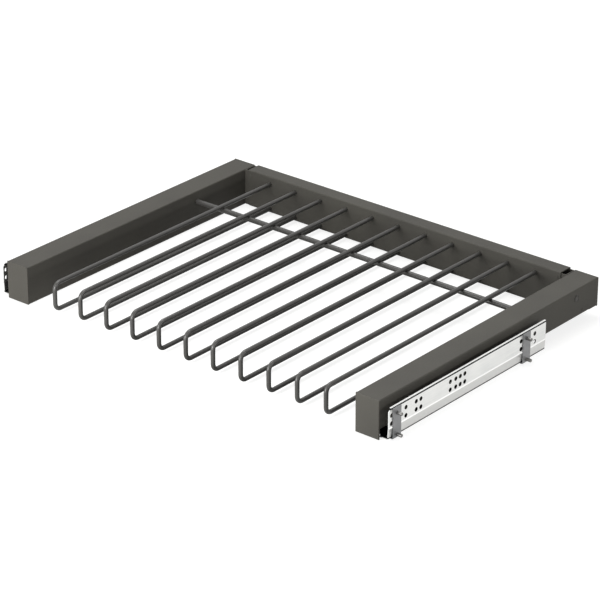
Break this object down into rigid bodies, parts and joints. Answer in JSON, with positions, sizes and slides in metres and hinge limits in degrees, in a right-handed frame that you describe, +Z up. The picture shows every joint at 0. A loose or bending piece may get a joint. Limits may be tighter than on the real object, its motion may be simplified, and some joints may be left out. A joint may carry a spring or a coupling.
{
  "type": "pull out trouser rack",
  "caption": "Wardrobe rack that pulls out on two roller slides: folded steel arms and back rail carry a row of U-shaped wire trouser bars.",
  "frame": {"origin": "under the middle of the rack as pushed in, level with the bottoms of its front caps and back rail", "axes": "+X across the cabinet to the right wall, +Y from the front to the back, +Z up"},
  "size_m": [0.73, 0.5, 0.06],
  "materials": {
    "frame_powder_coat": "fine textured anthracite powder coat on folded sheet steel",
    "wire_powder_coat": "satin anthracite powder coat on round steel wire",
    "painted_rivets": "steel rivets painted with the frame",
    "zinc_plated_steel": "bright zinc-plated rolled steel",
    "galvanised_bracket_steel": "dull galvanised sheet steel",
    "turned_steel_pegs": "turned, nickel-plated steel",
    "roller_steel": "hardened and ground steel",
    "screw_steel": "zinc-plated steel fasteners",
    "cage_polymer": "natural acetal",
    "plug_plastic": "moulded polyamide in the frame's colour",
    "buffer_rubber": "black rubber"
  },
  "bodies": {
    "cabinet_rails": {"left_cabinet_member": "zinc_plated_steel", "left_dowel_pegs": "turned_steel_pegs", "left_front_peg_bracket": "galvanised_bracket_steel", "left_rear_peg_bracket": "galvanised_bracket_steel", "left_stop_buffer": "buffer_rubber", "right_cabinet_member": "zinc_plated_steel", "right_dowel_pegs": "turned_steel_pegs", "right_front_peg_bracket": "galvanised_bracket_steel", "right_rear_peg_bracket": "galvanised_bracket_steel", "right_stop_buffer": "buffer_rubber"},
    "right_middle": {"right_middle_member": "zinc_plated_steel"},
    "right_lower_cage": {"right_lower_roller_cage": "cage_polymer", "right_lower_rollers": "roller_steel"},
    "right_upper_cage": {"right_upper_roller_cage": "cage_polymer", "right_upper_rollers": "roller_steel"},
    "left_middle": {"left_middle_member": "zinc_plated_steel"},
    "left_lower_cage": {"left_lower_roller_cage": "cage_polymer", "left_lower_rollers": "roller_steel"},
    "left_upper_cage": {"left_upper_roller_cage": "cage_polymer", "left_upper_rollers": "roller_steel"},
    "rack": {"access_plugs": "plug_plastic", "back_rail": "frame_powder_coat", "bar_screws": "screw_steel", "bracket_bolts": "screw_steel", "bracket_nuts": "screw_steel", "cap_rivets": "painted_rivets", "crossbar": "wire_powder_coat", "crossbar_plugs": "screw_steel", "crossbar_screws": "screw_steel", "left_arm_cover": "frame_powder_coat", "left_carrier_rivets": "screw_steel", "left_drawer_member": "zinc_plated_steel", "left_front_cap": "frame_powder_coat", "left_front_carrier": "galvanised_bracket_steel", "left_rail_bracket": "frame_powder_coat", "left_rear_cap": "frame_powder_coat", "left_rear_carrier": "galvanised_bracket_steel", "rail_rivets": "painted_rivets", "right_arm_cover": "frame_powder_coat", "right_carrier_rivets": "screw_steel", "right_drawer_member": "zinc_plated_steel", "right_front_cap": "frame_powder_coat", "right_front_carrier": "galvanised_bracket_steel", "right_rail_bracket": "frame_powder_coat", "right_rear_cap": "frame_powder_coat", "right_rear_carrier": "galvanised_bracket_steel", "trouser_bar_01": "wire_powder_coat", "trouser_bar_02": "wire_powder_coat", "trouser_bar_03": "wire_powder_coat", "trouser_bar_04": "wire_powder_coat", "trouser_bar_05": "wire_powder_coat", "trouser_bar_06": "wire_powder_coat", "trouser_bar_07": "wire_powder_coat", "trouser_bar_08": "wire_powder_coat", "trouser_bar_09": "wire_powder_coat", "trouser_bar_10": "wire_powder_coat", "trouser_bar_11": "wire_powder_coat"}
  },
  "joints": [
    {"name": "rack_slide", "type": "slide", "parent": "cabinet_rails", "child": "rack", "axis": [0, -1, 0], "range_m": [0, 0.34]},
    {"name": "right_middle_slide", "type": "slide", "parent": "cabinet_rails", "child": "right_middle", "axis": [0, -1, 0], "range_m": [0, 0.17]},
    {"name": "right_lower_cage_slide", "type": "slide", "parent": "cabinet_rails", "child": "right_lower_cage", "axis": [0, -1, 0], "range_m": [0, 0.085]},
    {"name": "right_upper_cage_slide", "type": "slide", "parent": "cabinet_rails", "child": "right_upper_cage", "axis": [0, -1, 0], "range_m": [0, 0.255]},
    {"name": "left_middle_slide", "type": "slide", "parent": "cabinet_rails", "child": "left_middle", "axis": [0, -1, 0], "range_m": [0, 0.17]},
    {"name": "left_lower_cage_slide", "type": "slide", "parent": "cabinet_rails", "child": "left_lower_cage", "axis": [0, -1, 0], "range_m": [0, 0.085]},
    {"name": "left_upper_cage_slide", "type": "slide", "parent": "cabinet_rails", "child": "left_upper_cage", "axis": [0, -1, 0], "range_m": [0, 0.255]}
  ],
  "couplings": [
    {"joint": "right_middle_slide", "follows": "rack_slide", "ratio": 0.5},
    {"joint": "right_lower_cage_slide", "follows": "rack_slide", "ratio": 0.25},
    {"joint": "right_upper_cage_slide", "follows": "rack_slide", "ratio": 0.75},
    {"joint": "left_middle_slide", "follows": "rack_slide", "ratio": 0.5},
    {"joint": "left_lower_cage_slide", "follows": "rack_slide", "ratio": 0.25},
    {"joint": "left_upper_cage_slide", "follows": "rack_slide", "ratio": 0.75}
  ]
}
